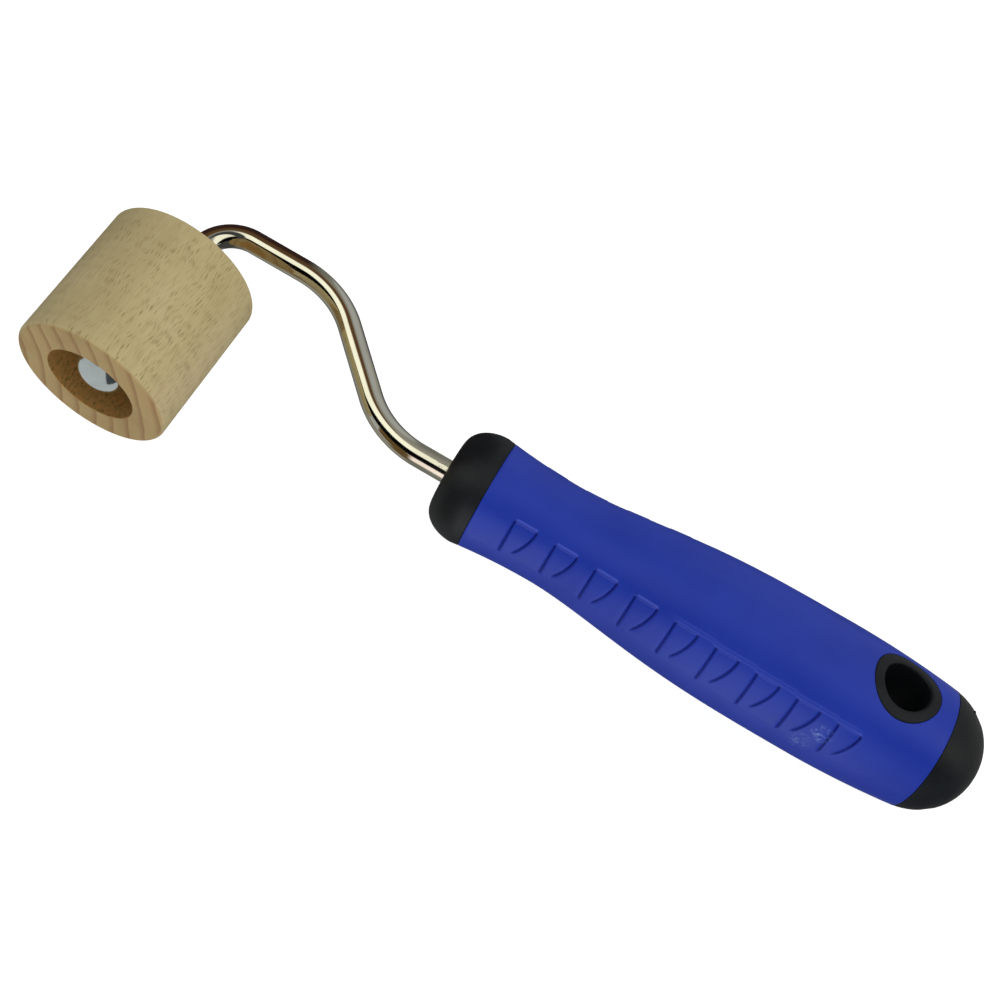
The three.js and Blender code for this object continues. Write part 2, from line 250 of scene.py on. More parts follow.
def nickel_plate():
    """Bright plating: mirror smooth, with faint drawing lines along the wire and shallow pits in patches."""
    material = finish("nickel_plate", Metallic=1.0)
    tree = material.node_tree
    flat = add(tree, "UVMap", uv_map="flat").outputs[0]
    place = add(tree, "TexCoord").outputs["Object"]
    drawn = noise(tree, placed(tree, flat, scale=(60, 5200, 1)), 1.0)
    cloud = noise(tree, place, 90.0)
    pits = add(tree, "TexVoronoi", {"Vector": place, "Scale": 2600.0}).outputs["Distance"]
    pitted = sums(tree, "MULTIPLY", ramp(tree, pits, (0.0, 1.0), (0.35, 0.0)),
                  ramp(tree, cloud, (0.5, 0.0), (0.64, 1.0)))
    tint = ramp(tree, cloud, (0.3, colour(206, 203, 188)), (0.7, colour(220, 217, 202)))
    wire(material, "Base Color", mixed(tree, pitted, tint, colour(150, 140, 125)))
    wire(material, "Roughness", sums(tree, "ADD", ramp(tree, drawn, (0.2, 0.05), (0.8, 0.11)),
                                     sums(tree, "MULTIPLY", pitted, 0.2)))
    height = sums(tree, "SUBTRACT", sums(tree, "MULTIPLY", drawn, 0.12), pitted)
    bumped(material, height, 0.02 * MM, 0.35)
    return material


rod = swept_rod()
rod.data.materials.append(nickel_plate())
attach(rod, "handle")
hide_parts("frame_rod")


# ---------------------------------------------------------------------------------------------------
# Handle core: the black first shot, hard plastic moulded round the rod's tang. Ferrule, the core under
# the sleeve, the eyelet of the hanging hole and the domed butt are one piece, with a fine parting line.

FACE_RADIUS = 8.25 * MM
COLLAR_RADIUS = 14.25 * MM
COLLAR_AT = 8.6 * MM
WAIST_RADIUS = 12.85 * MM
WAIST_AT = 29.5 * MM
PALM_RADIUS = 17.4 * MM
PALM_FROM_END = 42 * MM
TAIL_RADIUS = 13.75 * MM
DOME_LENGTH = 14.3 * MM
SWELL_EARLY = 1.68
DOME_SQUARENESS = 2.3
FERRULE_LENGTH = 10.8 * MM
BUTT_LENGTH = 13.2 * MM
SLEEVE_WALL = 2.5 * MM
SEAM_ROUND = 0.16 * MM
TANG_LENGTH = 52 * MM
TANG_ROOM = 0.15 * MM
HOLE_RADIUS = 6 * MM
EYELET_RADIUS = 8.75 * MM
HOLE_LIP = 0.9 * MM
HOLE_FROM_END = 26.6 * MM
HOLE_LEAN = np.radians(12)
WINDOW_HALF_ANGLE = np.radians(50)      # of the patch that is replaced round each end of the hole
CORE_CLEARANCE = 0.02 * MM
PARTING_HEIGHT = 0.045 * MM
PARTING_WIDTH = 0.16 * MM
NUB_AT = 135.4 * MM                     # a moulding nub on the butt's rim
NUB_ANGLE = np.radians(-28)
NUB_HEIGHT = 0.42 * MM
NUB_RADIUS = 0.32 * MM

handle_length = core_high[0] - core_low[0]
butt_at = handle_length - BUTT_LENGTH
hole_at = handle_length - HOLE_FROM_END


def handle_radius(at):
    """Radius at a distance from the front face: a rounded corner up to the collar, a hollow down to the
    waist, a swell up to the palm, then a taper that a squared dome closes off at the butt."""
    palm_at = handle_length - PALM_FROM_END
    back = np.clip(1 - at / COLLAR_AT, 0, 1)
    face = FACE_RADIUS + (COLLAR_RADIUS - FACE_RADIUS) * np.sqrt(1 - back * back)
    left = np.clip((WAIST_AT - at) / (WAIST_AT - COLLAR_AT), 0, 1)
    hollow = WAIST_RADIUS + (COLLAR_RADIUS - WAIST_RADIUS) * left * left
    along = np.clip((at - WAIST_AT) / (palm_at - WAIST_AT), 0, 1)
    eased = 1 - (1 - along) ** SWELL_EARLY
    swell = WAIST_RADIUS + (PALM_RADIUS - WAIST_RADIUS) * eased * eased * (3 - 2 * eased)
    past = np.clip((at - palm_at) / (handle_length - palm_at), 0, 1)
    taper = PALM_RADIUS - (PALM_RADIUS - TAIL_RADIUS) * past * past
    dome = np.clip((at - handle_length + DOME_LENGTH) / DOME_LENGTH, 0, 1)
    closed = taper * (1 - dome ** DOME_SQUARENESS) ** (1 / DOME_SQUARENESS)
    return np.select([at < COLLAR_AT, at < WAIST_AT, at < palm_at], [face, hollow, swell], closed)


def on_handle(at, angle, radius):
    """Points of the handle: a distance from its front face, an angle from the hanging hole's axis, and a
    radius from its centreline, broadcast together."""
    at, angle, radius = np.broadcast_arrays(at, angle, radius)
    roll = angle - HOLE_LEAN
    return np.stack([handle_front + at, handle_y - radius * np.sin(roll), axle_z + radius * np.cos(roll)],
                    axis=-1)


def parting(angle):
    """Height of the fine ridge where the two halves of the mould met, a quarter turn from the hole."""
    off = (abs(np.cos(angle)) * PALM_RADIUS) / PARTING_WIDTH
    return PARTING_HEIGHT * np.exp(-off * off)


def all_round(half):
    """Angles right round the handle from those of one half, starting where no hole's window lies."""
    turned = np.unique(np.round(np.concatenate([-half, half]), 9))[1:]
    start = np.radians(-115)
    turned = np.sort(np.where(turned < start, turned + 2 * np.pi, turned))
    return np.append(turned, turned[0] + 2 * np.pi)


def window_loop(at, angle, side, half_angle, first_row, last_row):
    """Blanks a window round one hole out of a grid of stations and angles, and returns its outline as
    stations and angles from the hole's axis. Side 0 is the upper hole and side 1 the lower one."""
    columns = angle[0] - side * np.pi
    first, last = (int(np.argmin(abs(columns - edge))) for edge in (-half_angle, half_angle))
    rows, cols = slice(first_row, last_row + 1), slice(first, last + 1)
    loop = [np.concatenate([part[rows, first], part[last_row, cols][1:], part[rows, last][::-1][1:],
                            part[first_row, cols][::-1][1:]]) for part in (at, angle - side * np.pi)]
    at[first_row + 1:last_row, first + 1:last] = np.nan
    return loop


def hole_angles(loop, half_angle):
    """Angle round the hole's axis for each point of a window's outline."""
    return np.arctan2(loop[1] / half_angle, (loop[0] - hole_at) / (loop[0].max() - hole_at))


def into_hole(loop, half_angle, side, radius, sink, steps):
    """Rings of points that pass from a window's square outline to a round ring of that radius about the
    hole's axis, on a surface that lies a constant sink under the handle's outline."""
    round_hole = hole_angles(loop, half_angle)
    ring_at = hole_at + radius * np.cos(round_hole)
    ring_angle = np.arcsin(radius * np.sin(round_hole) / (handle_radius(ring_at) - sink))
    share = np.linspace(0, 1, steps + 1)[:, None]
    share = 1 - (1 - share) ** 1.4
    at = loop[0] + (ring_at - loop[0]) * share
    angle = loop[1] + (ring_angle - loop[1]) * share
    return on_handle(at, angle + side * np.pi, handle_radius(at) - sink)


def hole_rings(loop, half_angle, side, steps):
    """Rings about the hole's axis, one for each (radius, sink under the handle's outline) step."""
    round_hole = hole_angles(loop, half_angle)
    radius, sink = (part[:, None] for part in steps)
    at = hole_at + radius * np.cos(round_hole)
    surface = handle_radius(at) - sink
    angle = np.arcsin(radius * np.sin(round_hole) / surface)
    return on_handle(at, angle + side * np.pi, surface)


def quarter(radius, sink, reach, steps=6):
    """Radii and sinks of a rounded rim, from flush with the surface to straight down the hole."""
    turn = np.linspace(0, np.pi / 2, steps + 1)
    return radius + reach * (1 - np.sin(turn)), sink + reach * (1 - np.cos(turn))


def moulded_core():
    """The core: its outline is turned about the handle's line, with a window blanked out of it at each
    end of the hanging hole, where rings climb the eyelet, round its lip and run down the hole's wall.
    Rows and columns are closer together round the windows, the parting line and the nub."""
    half_angle = WINDOW_HALF_ANGLE
    under = SLEEVE_WALL + CORE_CLEARANCE
    tang = ROD_RADIUS + TANG_ROOM
    depth = TANG_LENGTH + 2 * TANG_ROOM
    front = COLLAR_AT * (1 - np.sin(np.linspace(np.pi / 2, 0, 14)))
    eased = np.linspace(0, np.pi / 2, 4)
    seam = SEAM_ROUND * (1 - np.cos(eased))
    ferrule = np.concatenate([front, np.linspace(COLLAR_AT, FERRULE_LENGTH - SEAM_ROUND, 4)[1:]])
    hidden = np.concatenate([np.linspace(FERRULE_LENGTH, 105 * MM, 34),
                             np.linspace(106 * MM, 128 * MM, 31), [butt_at]])
    dome_at = handle_length - DOME_LENGTH
    butt = np.concatenate([[butt_at + SEAM_ROUND], np.linspace(butt_at + 0.5 * MM, butt_at + 4 * MM, 7),
                           np.linspace(134.7, 136.1, 10) * MM])
    dome = dome_at + DOME_LENGTH * np.sin(np.linspace(0.46, 1, 26) * np.pi / 2)
    at = np.concatenate([[depth, depth, 0, 0], ferrule, FERRULE_LENGTH - SEAM_ROUND + seam, hidden,
                         butt_at + SEAM_ROUND - seam[::-1], butt, dome])
    radius = np.concatenate([[0, tang, tang, tang], handle_radius(ferrule),
                             handle_radius(FERRULE_LENGTH) - SEAM_ROUND * np.sin(eased) ** 2,
                             handle_radius(hidden) - under,
                             handle_radius(butt_at) - SEAM_ROUND * np.cos(eased) ** 2,
                             handle_radius(butt), handle_radius(dome)])
    half = np.radians(np.linspace(0, 180, 73))
    fine = np.radians(np.concatenate([np.linspace(26, 30, 9), np.linspace(88, 92, 13),
                                      np.linspace(150, 154, 9)]))
    angle = all_round(np.concatenate([half, fine]))
    grids = np.broadcast_arrays(at[:, None], angle, radius[:, None])
    at, angle, radius = (part.copy() for part in grids)
    shown = (radius > FACE_RADIUS) & ((at <= FERRULE_LENGTH) | (at >= butt_at))
    nub = np.hypot(at - NUB_AT, (angle - NUB_ANGLE) * 15 * MM) / NUB_RADIUS
    radius += np.where(shown, parting(angle) + NUB_HEIGHT * np.exp(-nub ** 4), 0)
    hidden_start = 4 + len(ferrule) + len(seam) + 34
    windows = []
    for side in (0, 1):
        loop = window_loop(at, angle, side, half_angle, hidden_start, hidden_start + 30)
        climb = (np.full(6, EYELET_RADIUS), np.linspace(under, SEAM_ROUND, 6))
        edge = (EYELET_RADIUS - SEAM_ROUND * np.array([0.3, 1.0]), SEAM_ROUND * np.array([0.3, 0.0]))
        face = (np.linspace(EYELET_RADIUS - 0.5 * MM, HOLE_RADIUS + HOLE_LIP, 6), np.zeros(6))
        lip = quarter(HOLE_RADIUS, 0, HOLE_LIP)
        steps = [np.concatenate(part) for part in zip(climb, edge, face, lip)]
        rings = hole_rings(loop, half_angle, side, steps)
        round_hole = hole_angles(loop, half_angle)
        middle = on_handle(hole_at + HOLE_RADIUS * np.cos(round_hole), side * np.pi + np.pi / 2,
                           HOLE_RADIUS * np.sin(round_hole))
        share = np.linspace(0, 1, 9)[:, None, None]
        windows.append(into_hole(loop, half_angle, side, EYELET_RADIUS, under, 6))
        windows.append(np.concatenate([rings, rings[-1] + (middle - rings[-1]) * share[1:]]))
    return shell("moulded_core", on_handle(at, angle, radius), *windows, crease=38)


def black_plastic():
    """Hard black plastic with a faint grey cast, fine spark texture and a little dust and handling haze."""
    material = finish("black_core", IOR=1.48, Specular_IOR_Level=0.3)
    tree = material.node_tree
    place = add(tree, "TexCoord").outputs["Object"]
    cloud = noise(tree, place, 160.0, 4.0)
    grain = noise(tree, place, 5200.0, 2.0)
    dust = ramp(tree, noise(tree, place, 1500.0, 4.0, 0.7), (0.62, 0.0), (0.8, 1.0))
    base = ramp(tree, cloud, (0.3, colour(11, 14, 18)), (0.7, colour(16, 20, 24)))
    base = mixed(tree, sums(tree, "MULTIPLY", dust, 0.25), base, colour(96, 104, 104))
    wire(material, "Base Color", base)
    wire(material, "Roughness", ramp(tree, cloud, (0.3, 0.42), (0.7, 0.52)))
    bumped(material, grain, 0.03 * MM, 0.5)
    return material


core = moulded_core()
core.data.materials.append(black_plastic())
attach(core, "handle")
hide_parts("handle_core")


# ---------------------------------------------------------------------------------------------------
# Grip sleeve: the blue second shot, slightly soft plastic moulded over the core. Down each side runs a
# panel of nine shallow pockets between two engraved lines that close towards the parting line.

POCKETS = 9
FIRST_POCKET_AT = 19.9 * MM
POCKET_PITCH = 10.86 * MM
POCKET_TOP_WIDTH = 5.9 * MM
POCKET_FOOT_WIDTH = 3.0 * MM
POCKET_TOP_FIRST = np.radians(48.6)
POCKET_TOP_LAST = np.radians(57.2)
LINE_FOOT = np.radians(91)
CURVE_FOOT = np.radians(84)
CURVE_POWER = 1.7
LINE_DEPTH = 0.34 * MM
LINE_HALF_WIDTH = 0.25 * MM
POCKET_DEPTH = 0.2 * MM
RIM_ABOVE = 0.55 * MM
RIM_HEIGHT = 0.1 * MM
RIM_HALF_WIDTH = 0.22 * MM
SCUFFS = (                              # distance from the front, angle in degrees, reach, strength
    (104.7 * MM, 72, 3.2 * MM, 0.6),
    (101.8 * MM, 88, 3.6 * MM, 0.3),
)


def smooth(value, start, end):
    """0 before start and 1 after end, with a soft rise between them."""
    share = np.clip((value - start) / (end - start), 0, 1)
    return share * share * (3 - 2 * share)


def pocket_top(number):
    """Angle of a pocket's upper edge: the panel narrows a little from the first pocket to the last."""
    return POCKET_TOP_FIRST + (POCKET_TOP_LAST - POCKET_TOP_FIRST) * number / (POCKETS - 1)


def pocket_width(number, angle):
    """Distance between a pocket's two lines: it closes by a power law from its top edge to its foot."""
    top = pocket_top(number)
    fall = np.clip((abs(angle) - top) / (CURVE_FOOT - top), 0, 1)
    return POCKET_TOP_WIDTH - (POCKET_TOP_WIDTH - POCKET_FOOT_WIDTH) * fall ** CURVE_POWER


def sleeve_stations(angle):
    """Stations of the sleeve's rows at each angle. Rows crowd along both lines of every pocket, and bend
    with the curved line, so that no line crosses the grid; returns them with each row's pocket."""
    near = np.array([-0.6, -0.36, -0.22, -0.13, -0.06, 0, 0.06, 0.13, 0.22, 0.36, 0.6]) * MM
    step = np.arange(1, 5) / 5
    gap = POCKET_PITCH - 1.2 * MM
    base = np.concatenate([near, (0.6 - 1.2 * step) * MM, near, 0.6 * MM + gap * step])
    share = np.concatenate([0 * near, step, 0 * near + 1, 1 - step])
    number = np.repeat(np.arange(POCKETS), len(base))
    base, share = np.tile(base, POCKETS), np.tile(share, POCKETS)
    panel = FIRST_POCKET_AT + number * POCKET_PITCH + base
    rows = panel[:, None] + share[:, None] * pocket_width(number[:, None], angle)
    front = np.linspace(FERRULE_LENGTH + SEAM_ROUND, FIRST_POCKET_AT - 1 * MM, 12)
    last = FIRST_POCKET_AT + POCKETS * POCKET_PITCH - 0.4 * MM
    back = np.linspace(last, butt_at - SEAM_ROUND, 12)
    spread = np.ones_like(angle)
    rows = np.concatenate([front[:, None] * spread, rows, back[:, None] * spread])
    number = np.concatenate([0 * front, number, 0 * back + POCKETS - 1])
    return rows, number[:, None], len(front)


def sleeve_relief(at, angle, number):
    """Height of the sleeve over the plain handle: engraved lines with a bell-shaped section, a pocket floor
    that rises to nothing at its foot, a raised rim over its top edge, and the parting line. Also gives the
    line and rim shares, from which the material paints shade into the lines and a highlight on the rims."""
    side = abs(np.where(angle > np.pi, angle - 2 * np.pi, angle))
    top = pocket_top(number)
    from_line = at - FIRST_POCKET_AT - number * POCKET_PITCH
    from_curve = from_line - pocket_width(number, side)
    girth = handle_radius(at)
    below = (side - top) * girth
    started = smooth(below, -0.25 * MM, 0.2 * MM)
    line = np.exp(-(from_line / LINE_HALF_WIDTH) ** 2) * started
    line *= 1 - smooth(side, LINE_FOOT - 0.08, LINE_FOOT)
    curve = np.exp(-(from_curve / LINE_HALF_WIDTH) ** 2) * started
    curve *= 1 - smooth(side, CURVE_FOOT - 0.07, CURVE_FOOT + 0.03)
    inside = smooth(from_line, -0.05 * MM, 0.05 * MM) * (1 - smooth(from_curve, -0.05 * MM, 0.05 * MM))
    floor = inside * smooth(below, -0.05 * MM, 0.3 * MM) * (1 - smooth(side, top, CURVE_FOOT - 0.1))
    over = np.exp(-((below + RIM_ABOVE) / RIM_HALF_WIDTH) ** 2)
    own_rim = smooth(from_line, 0.1 * MM, 0.5 * MM) * (1 - smooth(from_line, 5.6 * MM, 6.0 * MM))
    long_rim = smooth(at, 60 * MM, 66 * MM) * (1 - smooth(at, 110 * MM, 113 * MM))
    second = np.exp(-((below + RIM_ABOVE + 0.75 * MM) / RIM_HALF_WIDTH) ** 2)
    rims = over * np.maximum(own_rim * (1 - 0.5 * long_rim), 0.45 * long_rim) + 0.4 * second * long_rim
    lines = np.maximum(line, curve)
    hollow = LINE_DEPTH * lines + POCKET_DEPTH * floor * (1 - 0.6 * long_rim)
    height = RIM_HEIGHT * rims + parting(side) - hollow
    return height, np.stack([lines, rims], axis=-1)


def moulded_sleeve():
    """The sleeve: an outer grid with the relief and a plainer inner one, closed by rounded edges at the
    front and back and by rings down the wall of each opening for the eyelet."""
    half_angle = WINDOW_HALF_ANGLE
    half = np.radians(np.concatenate([
        np.linspace(0, 42, 15), np.linspace(42, 60, 37), np.linspace(60, 88, 25),
        np.linspace(88, 92, 13), np.linspace(92, 130, 12), np.linspace(130, 180, 16)]))
    columns = all_round(half)
    side = np.where(columns > np.pi, 2 * np.pi - columns, columns)
    at, number, front_rows = sleeve_stations(side)
    angle = np.broadcast_to(columns, at.shape).copy()
    height, shares = sleeve_relief(at, angle, number)
    outside = handle_radius(at) + height
    first_row = front_rows + (POCKETS - 1) * (len(at) - front_rows - 12) // POCKETS
    last_row = len(at) - 3
    opening = EYELET_RADIUS + 0.05 * MM
    kept = np.concatenate([np.arange(0, first_row, 10), np.arange(first_row, last_row + 1),
                           [len(at) - 1]])
    inner_at, inner_angle = at[kept], angle[kept].copy()
    inner_first = int(np.argmax(kept == first_row))
    patches = []
    for hole_side in (0, 1):
        loop = window_loop(at, angle, hole_side, half_angle, first_row, last_row)
        inner_last = inner_first + last_row - first_row
        window_loop(inner_at, inner_angle, hole_side, half_angle, inner_first, inner_last)
        rounded_edge = quarter(opening, 0, SEAM_ROUND, 3)
        wall = (np.full(4, opening), np.linspace(SEAM_ROUND, SLEEVE_WALL, 5)[1:])
        steps = [np.concatenate(part) for part in zip(rounded_edge, wall)]
        patches.append(into_hole(loop, half_angle, hole_side, steps[0][0], 0, 8))
        patches.append(hole_rings(loop, half_angle, hole_side, steps))
        patches.append(into_hole(loop, half_angle, hole_side, opening, SLEEVE_WALL, 8))
    outer = on_handle(at, angle, outside)
    inner = on_handle(inner_at, inner_angle, handle_radius(inner_at) - SLEEVE_WALL)
    turn = np.linspace(0, np.pi / 2, 4)[:, None]
    for row, outward in ((0, -1), (-1, 1)):
        edge_at = at[row] + outward * SEAM_ROUND * np.sin(turn)
        edge = on_handle(edge_at, columns, outside[row] - SEAM_ROUND * (1 - np.cos(turn)))
        wall = on_handle(edge_at[-1], columns, handle_radius(at[row]) - SLEEVE_WALL)
        patches.append(np.concatenate([edge, [wall, inner[row]]]))
    return shell("moulded_sleeve", (outer, shares), inner, *patches, crease=50)


def blue_plastic():
    """Satin blue plastic: a fine spark texture, slight clouding of its colour and gloss, painted shade in
    the engraved lines, a painted highlight on the raised rims, and pale scuffs between the last two pockets."""
    material = finish("blue_sleeve", IOR=1.46, Specular_IOR_Level=0.35)
    tree = material.node_tree
    place = add(tree, "TexCoord").outputs["Object"]
    cloud = noise(tree, place, 70.0, 4.0)
    grain = noise(tree, place, 3600.0, 3.0)
    base = ramp(tree, cloud, (0.3, colour(15, 38, 132)), (0.7, colour(18, 43, 140)))
    relief = add(tree, "SeparateXYZ", {0: add(tree, "UVMap", uv_map="flat").outputs[0]})
    # Painted shade: the engraved lines' share darkens the blue to deep navy, where the grooves fall in
    # shade.
    base = mixed(tree, sums(tree, "MULTIPLY", relief.outputs[0], 0.75), base, colour(9, 16, 88))
    # Painted highlight: the raised rims' share lightens the blue to a pale blue, where the rims catch the
    # light.
    base = mixed(tree, sums(tree, "MULTIPLY", relief.outputs[1], 0.4), base, colour(78, 92, 190))
    flecks = ramp(tree, noise(tree, place, 1100.0, 5.0, 0.7), (0.48, 0.0), (0.66, 1.0))
    for at, degrees, reach, strength in SCUFFS:
        spot = tuple(on_handle(at, np.radians(degrees), handle_radius(np.array(at))).tolist())
        off = add(tree, "VectorMath", {0: place, 1: spot}, operation="DISTANCE").outputs["Value"]
        close = ramp(tree, sums(tree, "DIVIDE", off, reach), (0.2, strength), (1.0, 0.0))
        base = mixed(tree, sums(tree, "MULTIPLY", close, flecks), base, colour(120, 145, 195))
    wire(material, "Base Color", base)
    wire(material, "Roughness", ramp(tree, cloud, (0.3, 0.36), (0.7, 0.44)))
    bumped(material, grain, 0.03 * MM, 0.6)
    return material


sleeve = moulded_sleeve()
sleeve.data.materials.append(blue_plastic())
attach(sleeve, "handle")
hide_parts("grip_sleeve")


# ---------------------------------------------------------------------------------------------------
# Stop washer: a punched steel washer, zinc plated, loose on the axle between the ears and the roller.
# Its outer edges are rounded on both faces and its bore's edges are square.

PUNCHED_ROUND = 0.2 * MM


def turned(name, outline, columns=96, crease=32):
    """A body turned about the axle's line from an outline of (radius + i * place along the axle)."""
    angle = np.linspace(0, 2 * np.pi, columns + 1)
    radius, y = outline.real[:, None], outline.imag[:, None]
    x, z = axle_x + radius * np.cos(angle), axle_z + radius * np.sin(angle)
    return shell(name, np.stack(np.broadcast_arrays(x, y, z), axis=-1), crease=crease)


def washer(name, node):
    """A flat ring with two rounded outer corners, sized and placed by its frame node."""
    low, high = (np.array(corner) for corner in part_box(node))
    outer = (high[0] - low[0]) / 2
    bore = ROD_RADIUS + PLATE_GAP
    outline = rounded([
        (bore, low[1], 0),
        (outer, low[1], PUNCHED_ROUND),
        (outer, high[1], PUNCHED_ROUND),
        (bore, high[1], 0),
        (bore, low[1], 0),
    ], steps=4)
    return turned(name, outline)


def zinc_plate(name, shade, gloss):
    """Zinc plate: a cool bright metal, clouded, with fine random scratches from tumbling in a barrel."""
    material = finish(name, Metallic=1.0)
    tree = material.node_tree
    place = add(tree, "TexCoord").outputs["Object"]
    cloud = noise(tree, place, 420.0, 3.0)
    bright = tuple(min(1.0, part * 1.12) for part in shade[:3]) + (1.0,)
    scratches = noise(tree, placed(tree, place, scale=(900, 900, 9000), turn=(0.4, 0.9, 0.2)), 1.0)
    wire(material, "Base Color", ramp(tree, cloud, (0.3, shade), (0.7, bright)))
    wire(material, "Roughness", ramp(tree, cloud, (0.3, gloss), (0.7, gloss + 0.1)))
    bumped(material, scratches, 0.01 * MM, 0.4)
    return material


zinc = zinc_plate("zinc_steel", colour(188, 192, 190), 0.24)
stop_washer = washer("stop_plate", "stop_washer")
stop_washer.data.materials.append(zinc)
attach(stop_washer, "handle")
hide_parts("stop_washer")


# ---------------------------------------------------------------------------------------------------
# Rear bush: a flanged nylon bush, injection moulded and pressed into the roller's bore from the back
# face, so that the beech never runs on the steel.

BUSH_CHAMFER = 0.25 * MM
BUSH_RADIUS = 5 * MM
FLANGE_THICKNESS = 1 * MM
BUSH_ROUND = 0.15 * MM


def flanged_bush(name, node, direction):
    """A bush with its flange towards the given direction along the axle: a stepped ring with a tapered
    lead at the end that is pressed in first."""
    low, high = (np.array(corner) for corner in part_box(node))
    flange = (high[0] - low[0]) / 2
    bore = ROD_RADIUS + PLATE_GAP
    outer_face, lead = (high[1], low[1]) if direction > 0 else (low[1], high[1])
    shoulder = outer_face - direction * FLANGE_THICKNESS
    outline = rounded([
        (bore + BUSH_CHAMFER, outer_face, 0),
        (flange, outer_face, BUSH_ROUND),
        (flange, shoulder, BUSH_ROUND),
        (BUSH_RADIUS, shoulder, BUSH_ROUND),
        (BUSH_RADIUS, lead + direction * 2 * BUSH_CHAMFER, 0),
        (BUSH_RADIUS - BUSH_CHAMFER, lead, 0),
        (bore, lead, 0),
        (bore, outer_face - direction * BUSH_CHAMFER, 0),
        (bore + BUSH_CHAMFER, outer_face, 0),
    ], steps=4)
    return turned(name, outline)


def nylon():
    """Natural nylon: creamy, slightly see-through, waxy, with faint flow marks."""
    material = finish("nylon", Subsurface_Weight=0.25, Subsurface_Scale=1.5 * MM, IOR=1.53)
    tree = material.node_tree
    place = add(tree, "TexCoord").outputs["Object"]
    flow = noise(tree, place, 380.0, 4.0)
    cream = ramp(tree, flow, (0.3, colour(222, 216, 200)), (0.7, colour(236, 231, 218)))
    wire(material, "Base Color", cream)
    wire(material, "Roughness", ramp(tree, flow, (0.3, 0.36), (0.7, 0.48)))
    bumped(material, flow, 0.02 * MM, 0.3)
    return material


natural_nylon = nylon()
rear_bush = flanged_bush("rear_bearing", "rear_bush", 1)
rear_bush.data.materials.append(natural_nylon)
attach(rear_bush, "roller")
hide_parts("rear_bush")


# ---------------------------------------------------------------------------------------------------
# Roller: beech turned along the grain, sanded and left bare, with softly rounded edges. The recess in
# its free end was drilled fast enough to burnish its wall brown.

ROLLER_EDGE = 1.3 * MM
RECESS_RADIUS = 11.5 * MM
RECESS_DEPTH = 9 * MM
RECESS_EDGE = 0.35 * MM
BUSH_SEAT = 0.1 * MM
FLANGE_RADIUS = 6 * MM
RING_SPACING = 4.6 * MM
PITH_AWAY = 85 * MM
GRAIN_TURN = np.radians(8)


def beech_roller():
    """The roller's outline: end face, rounded edges, back face, flange pocket, bore and recess."""
    outer = (roller_high[0] - roller_low[0]) / 2
    free, back = roller_low[1], roller_high[1]
    bore = BUSH_RADIUS + BUSH_SEAT
    pocket = FLANGE_RADIUS + BUSH_SEAT
    pocket_floor = back - FLANGE_THICKNESS - BUSH_SEAT
    floor = free + RECESS_DEPTH
    corners = [
        (bore, floor, 0),
        (RECESS_RADIUS, floor, 0.4 * MM),
        (RECESS_RADIUS, free, RECESS_EDGE),
        (outer, free, ROLLER_EDGE),
        (outer, back, ROLLER_EDGE),
        (pocket, back, 0.2 * MM),
        (pocket, pocket_floor, 0),
        (bore, pocket_floor, 0),
        (bore, floor, 0),
    ]
    return turned("beech_roller", rounded(corners, steps=10), columns=180, crease=40)


def dashes(tree, unrolled, across, along, share):
    """Dashes along the grain, one in some of the cells of a stretched cell pattern: cells per metre across
    and along the grain, and the grey level of a cell over which it has its dash."""
    inputs = {"Vector": placed(tree, unrolled, scale=(across, along, 1)), "Scale": 1.0}
    cells = add(tree, "TexVoronoi", inputs, voronoi_dimensions="2D")
    chosen = ramp(tree, cells.outputs["Color"], (share, 0.0), (share + 0.1, 1.0))
    spot = ramp(tree, cells.outputs["Distance"], (0.1, 1.0), (0.36, 0.0))
    return sums(tree, "MULTIPLY", spot, chosen)


